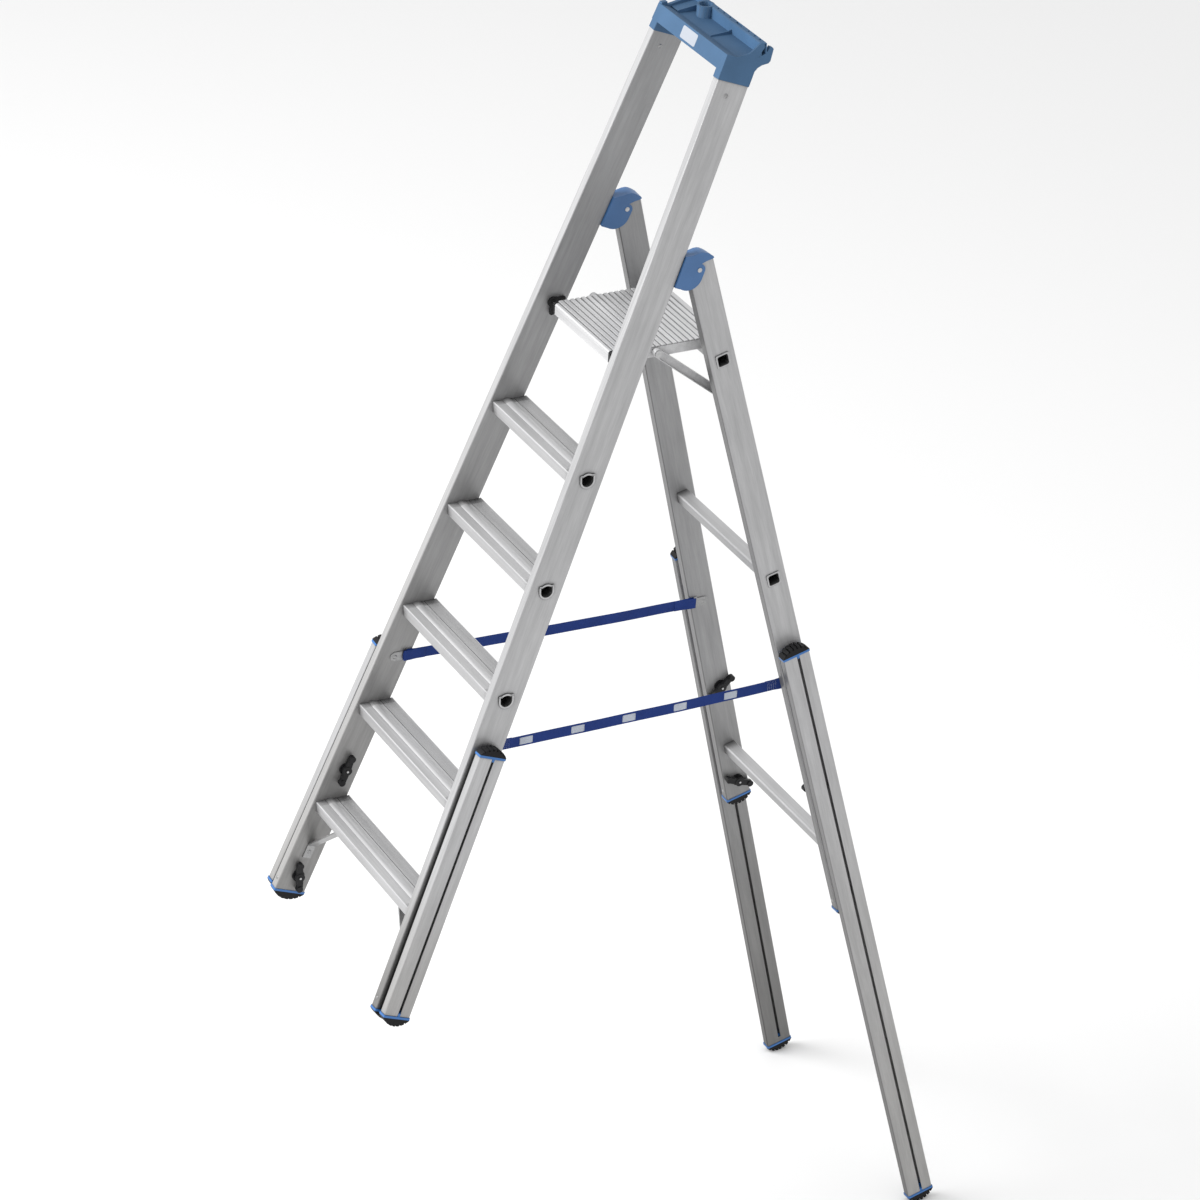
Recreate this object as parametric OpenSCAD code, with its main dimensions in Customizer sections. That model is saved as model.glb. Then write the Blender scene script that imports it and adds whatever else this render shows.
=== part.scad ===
// Four legged platform stepladder with sliding leg extensions, a fold flat rear frame,
// a hinged standing platform with two struts, two spreader straps and a top tool tray.
// +Z is up, the climber stands on the -Y side, the origin is under the middle of the ladder.

/* [Frame] */
// Lean of the climbing side back from upright, in degrees
front_lean = 21.14; // [16:0.01:26]
// Lean of the rear frame from upright, in degrees
rear_lean = 14.95; // [8:0.01:20]
// Outward flare of every stile, in degrees
flare = 3.31; // [1:0.01:6]
// Height of the front stile ends above the lowest rear foot
front_foot_z = 834.2; // [700:0.1:950]
// Position of the front stile ends towards the climber
front_foot_y = -700.9; // [-800:0.1:-600]
// Half the width over the front stiles at their lower ends
front_foot_half = 273.2; // [230:0.1:320]
// Length of a front stile from its lower end into the tray
front_stile_length = 2150; // [1900:1:2300]
// Height of the fold hinge axis
hinge_z = 2398; // [2200:0.5:2600]
// Position of the fold hinge axis from front to back
hinge_y = 30.5; // [0:0.5:60]
// Half the width over the rear stiles at the fold hinge
hinge_half = 174.15; // [150:0.05:200]
// Length of a rear stile below the fold hinge
rear_stile_length = 1648; // [1400:1:1800]

/* [Stiles] */
// Depth of a front stile from its front face to its rear face
stile_depth = 76; // [60:0.5:90]
// Thickness of a front stile
stile_thick = 21; // [16:0.5:30]
// Depth of a rear stile
rear_depth = 61.7; // [50:0.1:80]
// Thickness of a rear stile
rear_thick = 23.6; // [16:0.1:30]
// Distance from the hinge axis to the front edge of a rear stile
rear_front_edge = 24.6; // [15:0.1:35]
// Wall of the stile and slider sections
wall = 2; // [1:0.1:3.5]
// Outer corner radius of the sections
corner = 2.6; // [1:0.1:5]

/* [Treads] */
// Number of treads under the platform
tread_count = 5; // [3:1:6]
// Height of the top of the lowest tread
first_tread_z = 1043.3; // [950:0.1:1100]
// Rise from one tread to the next
tread_rise = 235; // [200:1:300]
// Depth of a tread
tread_depth = 78.8; // [60:0.1:100]
// Height of the front nose of a tread
tread_nose = 27; // [18:0.5:40]

/* [Platform] */
// Height of the standing surface
platform_z = 2219.1; // [2100:0.1:2300]
// Front edge of the platform
platform_front = -142.4; // [-180:0.1:-100]
// Depth of the platform from front to back
platform_depth = 260; // [200:1:320]
// Reach of the platform to the right of the middle
platform_half = 136.5; // [110:0.5:150]
// Reach of the platform to the left of the middle
platform_left = 132; // [110:0.5:150]
// Height of the platform sides
platform_side = 25; // [15:0.5:40]

/* [Sliding extensions] */
// Length of a front extension without its end caps
front_slider_length = 608.6; // [500:0.1:700]
// Length of a rear extension without its end caps
rear_slider_length = 1505; // [1200:1:1700]
// Distance the rear extensions are drawn out
rear_drawn_out = 815; // [0:1:1000]
// Depth of an extension section
slider_depth = 63.2; // [50:0.1:75]
// Thickness of an extension section
slider_thick = 21; // [15:0.5:30]
// Gap between a stile and its extension
slider_gap = 10; // [5:0.5:15]
// Width of the long clamp slot
slot_width = 6; // [5:0.1:8]

/* [Knobs and feet] */
// Span over the two wings of a clamp knob
knob_span = 76; // [50:1:100]
// Height of a rubber foot
foot_height = 18; // [10:0.5:30]
// Thickness of the coloured rim between section and rubber
rim_height = 5; // [3:0.5:10]

/* [Tray] */
// Radius of the round cup hole
cup_radius = 14; // [10:0.5:20]

/* [Hidden] */
$fn = 64;
fit = 0.3;
run_fit = 0.06;
bolt_radius = 2.5;
pivot_radius = 4;
strut_pin_radius = 3.5;
hinge_pin_radius = 5;
bush_radius = 10;
rivet_radius = 5;
rivet_shank = 2.4;
foot_rivet_radius = 4;
rivet_head = 2;
foot_overhang = 1.5;
slot_end = 14;
knob_height = 15;
// Front stile details, measured up the stile from its lower end
front_knobs = [41, 319.5];
front_bracket_up = 607;
front_strap_depth = 41.2;
brace_up = 104;
brace_depth = 41.7;
brace_plate = 2.6;
tray_rivet_depth = 31;
foot_rivet_up = 22;
tray_rivet_up = 2088;
// Rear stile details, measured down the stile from the hinge axis
rear_knobs = [1317.2, 1599.7];
cross_bars = [222.3, 772.3, 1502.5];
rear_bracket_down = 1068.3;
rear_strap_depth = 8.2;
bar_size = 28;
bar_wall = 1.8;
bar_depth_pos = 6.5;
// Slider position behind the front face of a front stile and behind the hinge axis
front_slider_depth_pos = 5.9;
rear_slider_depth_pos = -25.5;
slot_pos = 34.8;
bolt_end_x = 174;
// Axes of the platform pivot and of the two strut ends, front to back and height
pivot_y = -126.8;
pivot_z = 2202.6;
strut_top_y = -39;
strut_top_z = 2206.5;
strut_low_y = 120.8;
strut_low_z = 2082.1;
strut_width = 19;
strut_deep = 11;
strut_inner_x = 138.6;
strut_pin_end_x = 172.3;
strut_length = sqrt(pow(strut_top_y - strut_low_y, 2) + pow(strut_top_z - strut_low_z, 2));
strut_tilt = atan2(strut_top_z - strut_low_z, strut_top_y - strut_low_y);
strap_width = 25.4;
strap_thick = 2;

function front_face_y(z) = front_foot_y + (z - front_foot_z) * tan(front_lean);
function tread_z(k) = first_tread_z + tread_rise * k;

// ---------- placing helpers ----------

module other_side() {
    mirror([1, 0, 0]) children();
}

module both_sides() {
    children();
    other_side() children();
}

// Frame of the right front stile: outer face at x 0, front face at y 0, z up the stile
module on_front() {
    translate([front_foot_half, front_foot_y, front_foot_z])
        rotate([-front_lean, 0, 0])
            rotate([0, -flare, 0])
                children();
}

// Frame of the right rear stile: outer face at x 0, hinge axis at y 0, z up the stile
module on_rear() {
    translate([hinge_half, hinge_y, hinge_z])
        rotate([rear_lean, 0, 0])
            rotate([0, -flare, 0])
                children();
}

// Cylinder lying along X
module rod(radius, from_x, to_x) {
    translate([from_x, 0, 0])
        rotate([0, 90, 0])
            cylinder(r = radius, h = to_x - from_x);
}

// Profile drawn in Y and Z, pulled along X
module along_x(from_x, to_x) {
    translate([from_x, 0, 0])
        rotate([90, 0, 90])
            linear_extrude(height = to_x - from_x)
                children();
}

module rounded(size_x, size_y, radius) {
    translate([radius, 0]) square([size_x - 2 * radius, size_y]);
    translate([0, radius]) square([size_x, size_y - 2 * radius]);
    for (x = [radius, size_x - radius])
        for (y = [radius, size_y - radius])
            translate([x, y]) circle(r = radius);
}

// ---------- sections ----------

module tube(size_x, size_y, length) {
    linear_extrude(height = length)
        difference() {
            rounded(size_x, size_y, corner);
            translate([wall, wall])
                rounded(size_x - 2 * wall, size_y - 2 * wall, corner - 1.6);
        }
}

// D shaped tube section with its flat side up, top at 0
module d_section(half, tall) {
    translate([0, half - tall]) circle(r = half);
    translate([-half, half - tall]) square([2 * half, tall - half]);
}

d_half = 15.5;
d_tall = 27.5;
d_behind_nose = 31.5;
nose_step = 6.1;
collar = 1.8;

module at_tread(k) {
    translate([0, front_face_y(tread_z(k)) + nose_step, tread_z(k)]) children();
}

// Room between the two front stiles, used to trim the tread ends
module between_stiles() {
    bottom = front_foot_half - stile_thick / cos(flare);
    top = bottom - front_stile_length * sin(flare);
    tall = front_stile_length * cos(flare);
    translate([0, front_foot_y, front_foot_z])
        rotate([-front_lean, 0, 0])
            translate([0, 2 * stile_depth, 0])
                rotate([90, 0, 0])
                    linear_extrude(height = 3 * stile_depth)
                        polygon([[-bottom, 0], [bottom, 0], [top, tall], [-top, tall]]);
}

rib_pitch = 2.6;
rib_cut = 0.9;

// Tread section: Y back from the nose, Z down from the standing surface
module tread_section() {
    plate = 3;
    groove_1 = 0.26 * tread_depth;
    groove_2 = 0.61 * tread_depth;
    difference() {
        union() {
            translate([2, -plate]) square([tread_depth - 2, plate]);
            translate([2.4, -2.4]) circle(r = 2.4);
            polygon([[0, -2.4], [2, -tread_nose], [5, -tread_nose], [3.6, -2.4]]);
            translate([2, -tread_nose]) square([9, 2]);
            translate([tread_depth - 2.5, -20]) square([2.5, 20]);
        }
        translate([groove_1, -1.4]) square([2, 2]);
        translate([groove_2, -1.4]) square([2, 2]);
        for (i = [1 : 9])
            translate([groove_1 + 1 + i * rib_pitch, -rib_cut]) square([1, 2]);
        for (i = [1 : 10])
            translate([groove_2 + 1 + i * rib_pitch, -rib_cut]) square([1, 2]);
    }
}

// Outer solid of the tube under tread k: flat topped tube with a flared collar outside
module tread_tube(k) {
    reach = front_foot_half - (tread_z(k) - front_foot_z) * tan(flare) / cos(front_lean);
    at_tread(k)
        translate([0, d_behind_nose, -0.5]) {
            along_x(-reach - 1, reach + 1) d_section(d_half, d_tall);
            both_sides()
                along_x(reach - 0.5, reach + 2.2)
                    translate([0, collar]) d_section(d_half + collar, d_tall + 2 * collar);
        }
}

module tread(k) {
    color("silver") {
        intersection() {
            at_tread(k)
                difference() {
                    along_x(-front_foot_half, front_foot_half) tread_section();
                    translate([0, d_behind_nose, -0.5])
                        along_x(-front_foot_half, front_foot_half) d_section(d_half, d_tall);
                }
            between_stiles();
        }
        difference() {
            tread_tube(k);
            at_tread(k)
                translate([0, d_behind_nose, -0.5 - wall])
                    along_x(-2 * front_foot_half, 2 * front_foot_half)
                        d_section(d_half - wall, d_tall - 2 * wall);
        }
    }
}

// ---------- front frame ----------

module front_stile() {
    color("silver")
        difference() {
            on_front()
                translate([-stile_thick, 0, 0])
                    tube(stile_thick, stile_depth, front_stile_length);
            for (k = [0 : tread_count - 1]) tread_tube(k);
            on_front()
                for (up = front_knobs)
                    translate([0, front_slider_depth_pos + slot_pos, up])
                        rod(bolt_radius + run_fit, -2 * stile_thick, stile_thick);
            translate([0, pivot_y, pivot_z])
                rod(pivot_radius + run_fit, 0, bolt_end_x);
            front_rivet_places() rivet_hole();
            foot_rivet_place() rivet_hole();
        }
}

// Where the rivets of one front stile sit: seat at x 0, head towards -X
module front_rivet_places() {
    at_front_bracket() translate([-2, 0, 0]) children();
    on_front() {
        translate([-stile_thick - brace_plate - 0.1, brace_depth, brace_up]) children();
        translate([0, tray_rivet_depth, tray_rivet_up]) mirror([1, 0, 0]) children();
        translate([-stile_thick, tray_rivet_depth, tray_rivet_up]) children();
    }
}

module foot_rivet_place() {
    on_front()
        translate([-stile_thick / 2, 0, foot_rivet_up]) rotate([0, 0, 90]) children();
}

// Rubber dome with cross grooves, top at z 0, hanging down
module rubber_end(thick, deep) {
    half = deep / 2 + foot_overhang;
    curve = (half * half + foot_height * foot_height) / (2 * foot_height);
    grooves = 6;
    pitch = deep / (grooves + 0.6);
    translate([-thick - foot_overhang, deep / 2, 0])
        along_x(0, thick + 2 * foot_overhang)
            difference() {
                intersection() {
                    translate([0, curve - foot_height]) circle(r = curve, $fn = 96);
                    translate([-half, -foot_height - 1]) square([2 * half, foot_height + 1]);
                }
                for (i = [0 : grooves - 1])
                    translate([(i - (grooves - 1) / 2) * pitch - 1.4, -foot_height - 1])
                        square([2.8, 6 + 1.1 * abs(i - (grooves - 1) / 2)
                            * abs(i - (grooves - 1) / 2)]);
            }
}

// Coloured rim plate that closes a section, upper face at z 0
module end_rim(thick, deep) {
    plug_gap = wall + 0.4;
    translate([-thick - foot_overhang, -foot_overhang, -rim_height])
        linear_extrude(height = rim_height)
            rounded(thick + 2 * foot_overhang, deep + 2 * foot_overhang, corner);
    translate([-thick + plug_gap, plug_gap, -0.5])
        cube([thick - 2 * plug_gap, deep - 2 * plug_gap, 8.5]);
}

module front_feet() {
    color([0.05, 0.05, 0.05])
        both_sides()
            on_front()
                translate([0, 0, -rim_height]) rubber_end(stile_thick, stile_depth);
}

module front_foot_rims() {
    color([0.2, 0.38, 0.75])
        both_sides()
            on_front() end_rim(stile_thick, stile_depth);
}

// Steel plate that carries the strap end, plate face on the x 0 plane
module strap_plate(length) {
    plate = 2;
    half = 11;
    translate([-plate, 0, 0])
        rotate([90, 0, 90])
            linear_extrude(height = plate) {
                circle(r = half);
                translate([0, -half]) square([length - 4, 2 * half]);
                translate([length - 8, -half - 4]) square([8, 2 * half + 8]);
            }
}

bracket_reach = 26;
right_strap_lift = 15;

module at_front_bracket() {
    on_front()
        translate([-stile_thick, front_strap_depth, front_bracket_up])
            rotate([front_lean, 0, 0])
                children();
}

module at_rear_bracket(lift) {
    on_rear()
        translate([-rear_thick, rear_strap_depth, -rear_bracket_down + lift])
            rotate([-rear_lean, 0, 0])
                mirror([0, 1, 0])
                    children();
}

module front_strap_brackets() {
    color([0.7, 0.7, 0.72])
        both_sides()
            difference() {
                at_front_bracket() strap_plate(bracket_reach);
                front_rivet_places() rivet_hole();
            }
}

module rear_bracket_rivets() {
    at_rear_bracket(right_strap_lift) translate([-2, 0, 0]) children();
    other_side() at_rear_bracket(0) translate([-2, 0, 0]) children();
}

module rear_strap_brackets() {
    color([0.7, 0.7, 0.72])
        difference() {
            union() {
                at_rear_bracket(right_strap_lift) strap_plate(bracket_reach);
                other_side() at_rear_bracket(0) strap_plate(bracket_reach);
            }
            rear_bracket_rivets() rivet_hole();
        }
}

// Domed rivet, seat at x 0, head towards -X, shank towards +X
module rivet(radius) {
    rod(rivet_shank, -0.5, 6);
    translate([-rivet_head, 0, 0])
        rotate([0, 90, 0])
            cylinder(r1 = radius * 0.55, r2 = radius, h = rivet_head);
}

// Hole for the shank of a rivet
module rivet_hole() {
    rod(rivet_shank + 0.02, -0.01, 6.5);
}

module front_rivets() {
    color([0.82, 0.82, 0.84])
        both_sides() {
            front_rivet_places() rivet(rivet_radius);
            foot_rivet_place() rivet(foot_rivet_radius);
        }
}

// Bent strip from the stile inner face up to the underside of the lowest tread
module tread_brace() {
    inset = 96;
    wide = 20;
    foot_x = front_foot_half - stile_thick / cos(flare);
    low = brace_up - 18;
    bend = brace_up + 16;
    high = 209.5;
    difference() {
        translate([0, front_foot_y, front_foot_z])
            rotate([-front_lean, 0, 0])
                translate([0, brace_depth + wide / 2, 0])
                    rotate([90, 0, 0])
                        linear_extrude(height = wide)
                            polygon([
                                [foot_x - low * tan(flare), low],
                                [foot_x - bend * tan(flare), bend],
                                [foot_x - bend * tan(flare) - inset, high],
                                [foot_x - bend * tan(flare) - inset - brace_plate,
                                    high - brace_plate],
                                [foot_x - bend * tan(flare) - brace_plate,
                                    bend - brace_plate],
                                [foot_x - low * tan(flare) - brace_plate, low]]);
        front_rivet_places() rivet_hole();
    }
}

module tread_braces() {
    color([0.75, 0.75, 0.76])
        both_sides() tread_brace();
}

module front_clamp_bolts() {
    color([0.75, 0.75, 0.77])
        both_sides()
            on_front()
                for (up = front_knobs)
                    translate([0, front_slider_depth_pos + slot_pos, up])
                        clamp_bolt(stile_thick);
}

// Bolt fixed in a stile: head inside the extension behind its slot, end inside the knob
module clamp_bolt(thick) {
    head_seat = slider_gap + wall + 0.6;
    rod(bolt_radius, -thick - knob_height - 2, head_seat + 1);
    rod(7, head_seat, head_seat + 4);
}

module guide_strip(length, deep) {
    thick = slider_gap - foot_overhang - fit;
    difference() {
        cube([thick, deep, length]);
        translate([2.5, 3, 3])
            cube([thick - 5, deep - 6, length - 6]);
    }
}

module front_guides() {
    color([0.06, 0.06, 0.07])
        both_sides()
            difference() {
                on_front() translate([0, 13, 4]) guide_strip(600, 52);
                on_front()
                    for (up = front_knobs)
                        translate([0, front_slider_depth_pos + slot_pos, up])
                            rod(bolt_radius, -1, slider_gap);
                for (k = [0, 1]) tread_tube(k);
            }
}

module platform_bolts() {
    color([0.75, 0.75, 0.77])
        both_sides()
            translate([0, pivot_y, pivot_z]) {
                rod(pivot_radius, platform_left - 7, bolt_end_x);
                rod(8, bolt_end_x - 4, bolt_end_x - 1);
            }
}

// ---------- fold hinge ----------

hinge_front_gap = 1.8;
hinge_back_gap = 1.3;
cheek = 2.5;

// Frame at the hinge pin: outer face of the rear stile at x 0, y and z along the front stile
module at_hinge() {
    translate([hinge_half, hinge_y, hinge_z])
        rotate([-front_lean, 0, 0])
            rotate([0, -flare, 0])
                children();
}

// Outline of the hinge casting: Y behind and Z above the hinge axis
module hinge_outline() {
    lobe_radius = 33;
    pin_lobe = 13.2;
    difference() {
        union() {
            translate([-20, -16.5]) circle(r = lobe_radius, $fn = 96);
            circle(r = pin_lobe);
            polygon([[-42, -48.5], [-20, -49], [11.1, -27.3], [12.7, -19.7], [13.1, -11.4],
                [pin_lobe, -3], [8, 0], [5, 10],
                [0.1, 14.2], [8, 21.3], [16, 26.5], [20.8, 29.3], [23, 32.5], [21, 35],
                [14, 36.8], [7, 38.2], [0, 38.9], [-6, 38.4], [-14, 35], [-25, 27.5],
                [-42, 20]]);
        }
        translate([-142, -80]) square([100, 160]);
    }
}

// Space swept by the rear stile as it folds
module hinge_pocket() {
    circle(r = 29);
    rotate([0, 0, front_lean + rear_lean])
        translate([0, -100])
            square([100, 100 + 11.8]);
    translate([-27, -100]) square([80, 100]);
}

module hinge_block() {
    color([0.3, 0.47, 0.68])
        difference() {
            at_hinge()
                difference() {
                    along_x(-rear_thick - hinge_front_gap - cheek, hinge_back_gap + cheek)
                        hinge_outline();
                    along_x(-rear_thick - hinge_front_gap, hinge_back_gap) hinge_pocket();
                }
            translate([0, hinge_y, hinge_z])
                rod(hinge_pin_radius + 0.02, 0, 2 * hinge_half);
        }
}

module hinge_pins() {
    past_cheek = 1;
    color([0.7, 0.7, 0.72])
        both_sides()
            translate([hinge_half, hinge_y, hinge_z])
                rod(hinge_pin_radius, -rear_thick - hinge_front_gap - cheek - past_cheek,
                    hinge_back_gap + cheek + past_cheek);
}

module hinge_bushes() {
    color([0.1, 0.1, 0.1])
        both_sides()
            translate([hinge_half, hinge_y, hinge_z])
                difference() {
                    rod(bush_radius, -rear_thick + 0.7, -0.7);
                    rod(hinge_pin_radius + run_fit, -2 * rear_thick, rear_thick);
                }
}

// ---------- rear frame ----------

module square_bar(size, from_x, to_x) {
    along_x(from_x, to_x)
        translate([-size / 2, -size / 2]) rounded(size, size, 4);
}

module at_bar(down) {
    translate([0, hinge_y, hinge_z])
        rotate([rear_lean, 0, 0])
            translate([0, bar_depth_pos, -down * cos(flare)])
                children();
}

module rear_stile(lift) {
    color("silver")
        difference() {
            on_rear()
                translate([-rear_thick, -rear_front_edge, -rear_stile_length])
                    tube(rear_thick, rear_depth, rear_stile_length + 11);
            for (down = cross_bars) bar_solid(down);
            translate([0, hinge_y, hinge_z]) rod(bush_radius, 0, 2 * front_foot_half);
            translate([0, strut_low_y, strut_low_z])
                rod(strut_pin_radius + 0.02, 0, strut_pin_end_x);
            on_rear()
                for (down = rear_knobs)
                    translate([0, rear_slider_depth_pos + slot_pos, -down])
                        rod(bolt_radius + run_fit, -2 * rear_thick, rear_thick);
            at_rear_bracket(lift) translate([-2, 0, 0]) rivet_hole();
            rear_foot_rivet_place() rivet_hole();
        }
}

module rear_foot_rivet_place() {
    on_rear()
        translate([-rear_thick / 2, -rear_front_edge, -rear_stile_length + foot_rivet_up])
            rotate([0, 0, 90]) children();
}

// Outer solid of a cross bar, with its flared collars outside the stiles
module bar_solid(down) {
    reach = hinge_half + down * sin(flare);
    at_bar(down) {
        square_bar(bar_size, -reach - 1, reach + 1);
        both_sides() square_bar(bar_size + 4, reach - 0.6, reach + 2);
    }
}

module cross_bar(down) {
    color("silver")
        difference() {
            bar_solid(down);
            at_bar(down)
                square_bar(bar_size - 2 * bar_wall, -front_foot_half * 2,
                    front_foot_half * 2);
        }
}

module rear_feet() {
    color([0.05, 0.05, 0.05])
        both_sides()
            on_rear()
                translate([0, -rear_front_edge, -rear_stile_length - rim_height])
                    rubber_end(rear_thick, rear_depth);
}

module rear_foot_rims() {
    color([0.2, 0.38, 0.75])
        both_sides()
            on_rear()
                translate([0, -rear_front_edge, -rear_stile_length])
                    end_rim(rear_thick, rear_depth);
}

module rear_rivets() {
    color([0.82, 0.82, 0.84]) {
        rear_bracket_rivets() rivet(rivet_radius);
        both_sides() rear_foot_rivet_place() rivet(foot_rivet_radius);
    }
}

module rear_clamp_bolts() {
    color([0.75, 0.75, 0.77])
        both_sides()
            on_rear()
                for (down = rear_knobs)
                    translate([0, rear_slider_depth_pos + slot_pos, -down])
                        clamp_bolt(rear_thick);
}

module rear_guides() {
    length = 640;
    color([0.06, 0.06, 0.07])
        both_sides()
            difference() {
                on_rear()
                    translate([0, -rear_front_edge + 8, -rear_stile_length + 6])
                        guide_strip(length, 46);
                on_rear()
                    for (down = rear_knobs)
                        translate([0, rear_slider_depth_pos + slot_pos, -down])
                            rod(bolt_radius, -1, slider_gap);
                bar_solid(cross_bars[2]);
            }
}

// ---------- platform and struts ----------

nose_end = 122.5;
nose_cap_deep = 10;

// Section of the platform: rounded nose in front, rounded ribs on top
module platform_end_view() {
    plate = 4;
    nose = 5;
    ribs = 19;
    rib_step = (platform_depth - 2 * nose) / ribs;
    groove = 2.9;
    difference() {
        union() {
            translate([nose, -plate]) square([platform_depth - nose, plate]);
            translate([nose, -nose]) circle(r = nose);
            translate([0, -platform_side]) square([2.5, platform_side - nose]);
            translate([platform_depth - 2.5, -13]) square([2.5, 13]);
        }
        for (i = [0 : ribs - 1])
            translate([nose + 6 + i * rib_step, 0.5]) circle(r = groove);
    }
}

module platform_side_plate() {
    notch = 41.5;
    polygon([[2, -platform_side], [platform_depth - notch, -platform_side],
        [platform_depth - notch, -16.8], [platform_depth, -13], [platform_depth, -2.6],
        [5, -2.6], [2, -6]]);
}

module platform() {
    side = 2.5;
    color("silver")
        difference() {
            translate([0, platform_front, platform_z]) {
                along_x(-platform_left, platform_half) platform_end_view();
                along_x(platform_half - side, platform_half) platform_side_plate();
                along_x(-platform_left, side - platform_left) platform_side_plate();
            }
            translate([0, pivot_y, pivot_z])
                rod(pivot_radius + run_fit, -platform_half * 2, platform_half * 2);
            translate([0, strut_top_y, strut_top_z])
                rod(strut_pin_radius + 2, -platform_half * 2, platform_half * 2);
            both_sides()
                translate([nose_end, platform_front - 1, platform_z - platform_side - 1])
                    cube([40, nose_cap_deep + 1, platform_side + 2]);
        }
}

// Black spacer ring on each pivot bolt, with one arm to the rear and one arm down,
// and a black cap in each end of the platform nose
module platform_clips() {
    ring = 12;
    from_x = 156;
    to_x = 164.6;
    arm = 27;
    cap = 8.5;
    color([0.06, 0.06, 0.07])
        both_sides() {
            translate([0, pivot_y, pivot_z])
                difference() {
                    union() {
                        rod(ring, from_x, to_x);
                        translate([from_x, 0, 4]) cube([to_x - from_x, arm, 6]);
                        translate([from_x, -7, -arm]) cube([to_x - from_x, 7, arm]);
                    }
                    rod(pivot_radius + run_fit, 0, 2 * platform_half);
                }
            translate([0, platform_front, platform_z])
                along_x(nose_end, nose_end + cap) {
                    translate([5, -5]) circle(r = 5);
                    translate([0, -platform_side]) square([7, platform_side - 5]);
                    translate([5, -5]) square([nose_cap_deep - 5, 5]);
                }
        }
}

// Channel shaped strut, lower eye at the origin, upper eye along +Y
module strut_shape() {
    half = strut_width / 2;
    flange = 1.8;
    recess = 14;
    difference() {
        along_strut(strut_inner_x, strut_inner_x + strut_deep) {
            circle(r = half);
            translate([0, -half]) square([strut_length, strut_width]);
            translate([strut_length, 0]) circle(r = half);
        }
        along_strut(strut_inner_x + flange, strut_inner_x + strut_deep + 1) {
            translate([recess, flange - half])
                square([strut_length - 2 * recess, strut_width - 2 * flange]);
            translate([recess, 0]) circle(r = half - flange);
            translate([strut_length - recess, 0]) circle(r = half - flange);
        }
        rod(strut_pin_radius + run_fit, 0, 2 * strut_inner_x);
        translate([0, strut_length, 0])
            rod(strut_pin_radius + 0.02, 0, 2 * strut_inner_x);
    }
}

// Profile drawn along the strut, pulled along X
module along_strut(from_x, to_x) {
    translate([from_x, 0, 0])
        rotate([90, 0, 90])
            linear_extrude(height = to_x - from_x) children();
}

module strut() {
    color([0.78, 0.78, 0.8])
        translate([0, strut_low_y, strut_low_z])
            rotate([strut_tilt, 0, 0])
                strut_shape();
}

module strut_pivots() {
    outer = strut_inner_x + strut_deep;
    color([0.7, 0.7, 0.72])
        both_sides()
            translate([0, strut_top_y, strut_top_z]) {
                rod(strut_pin_radius, platform_half + 0.5, outer + 1);
                rod(7.5, outer, outer + 2);
            }
}

module strut_pins() {
    outer = strut_inner_x + strut_deep;
    color([0.7, 0.7, 0.72])
        both_sides()
            translate([0, strut_low_y, strut_low_z]) {
                rod(strut_pin_radius, strut_inner_x - 1.6, strut_pin_end_x);
                rod(6, outer + 0.6, strut_pin_end_x - 3.4);
                rod(6, strut_inner_x - 1.6, strut_inner_x - 0.4);
            }
}

// ---------- sliding extensions ----------

module slider_section(length) {
    difference() {
        translate([-slider_thick, 0, 0]) tube(slider_thick, slider_depth, length);
        translate([-2 * slider_thick, slot_pos - slot_width / 2, slot_end])
            cube([2 * slider_thick - 5, slot_width, length - 2 * slot_end]);
        translate([-5, slot_pos - slot_width / 2, -1])
            cube([10, slot_width, length + 2]);
    }
}

// Small tongue of the rim that fills the end of the slot
module slot_tongue() {
    translate([-wall - 0.6, slot_pos - slot_width / 2, -0.5])
        cube([wall + 0.9, slot_width, 7.5]);
}

module slider_rims(length) {
    end_rim(slider_thick, slider_depth);
    translate([0, 0, length]) mirror([0, 0, 1]) end_rim(slider_thick, slider_depth);
    slot_tongue();
    translate([0, 0, length]) mirror([0, 0, 1]) slot_tongue();
}

module slider_rubber(length) {
    translate([0, 0, -rim_height]) rubber_end(slider_thick, slider_depth);
    translate([0, 0, length + rim_height])
        mirror([0, 0, 1]) rubber_end(slider_thick, slider_depth);
}

module at_front_slider() {
    on_front()
        translate([slider_gap + slider_thick, front_slider_depth_pos, 1])
            children();
}

module at_rear_slider() {
    on_rear()
        translate([slider_gap + slider_thick, rear_slider_depth_pos,
            -rear_stile_length - rear_drawn_out])
            children();
}

// ---------- knobs ----------

// Wing knob: seat on the x 0 plane, wings along Y before turning
module knob_shape(turn) {
    hub = 11;
    wing = 7.5;
    rotate([turn, 0, 0])
        difference() {
            union() {
                rod(hub, fit, knob_height);
                rod(hub + 3, fit, 5);
                for (side = [-1, 1])
                    along_x(5, knob_height - 1)
                        polygon([[0, side * 8], [side * (knob_span / 2 - wing), side * wing],
                            [side * (knob_span / 2 - wing), -side * wing * 0.7],
                            [0, -side * 8]]);
                for (side = [-1, 1])
                    along_x(5, knob_height + 1)
                        translate([side * (knob_span / 2 - wing), 0]) circle(r = wing);
            }
            rod(bolt_radius + run_fit, -1, 2 * knob_height);
        }
}

module knob_on_front(up, turn) {
    color([0.05, 0.05, 0.05])
        on_front()
            translate([-stile_thick, front_slider_depth_pos + slot_pos, up])
                mirror([1, 0, 0]) knob_shape(turn);
}

module knob_on_rear(down, turn) {
    color([0.05, 0.05, 0.05])
        on_rear()
            translate([-rear_thick, rear_slider_depth_pos + slot_pos, -down])
                mirror([1, 0, 0]) knob_shape(turn);
}

// ---------- straps ----------

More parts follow.
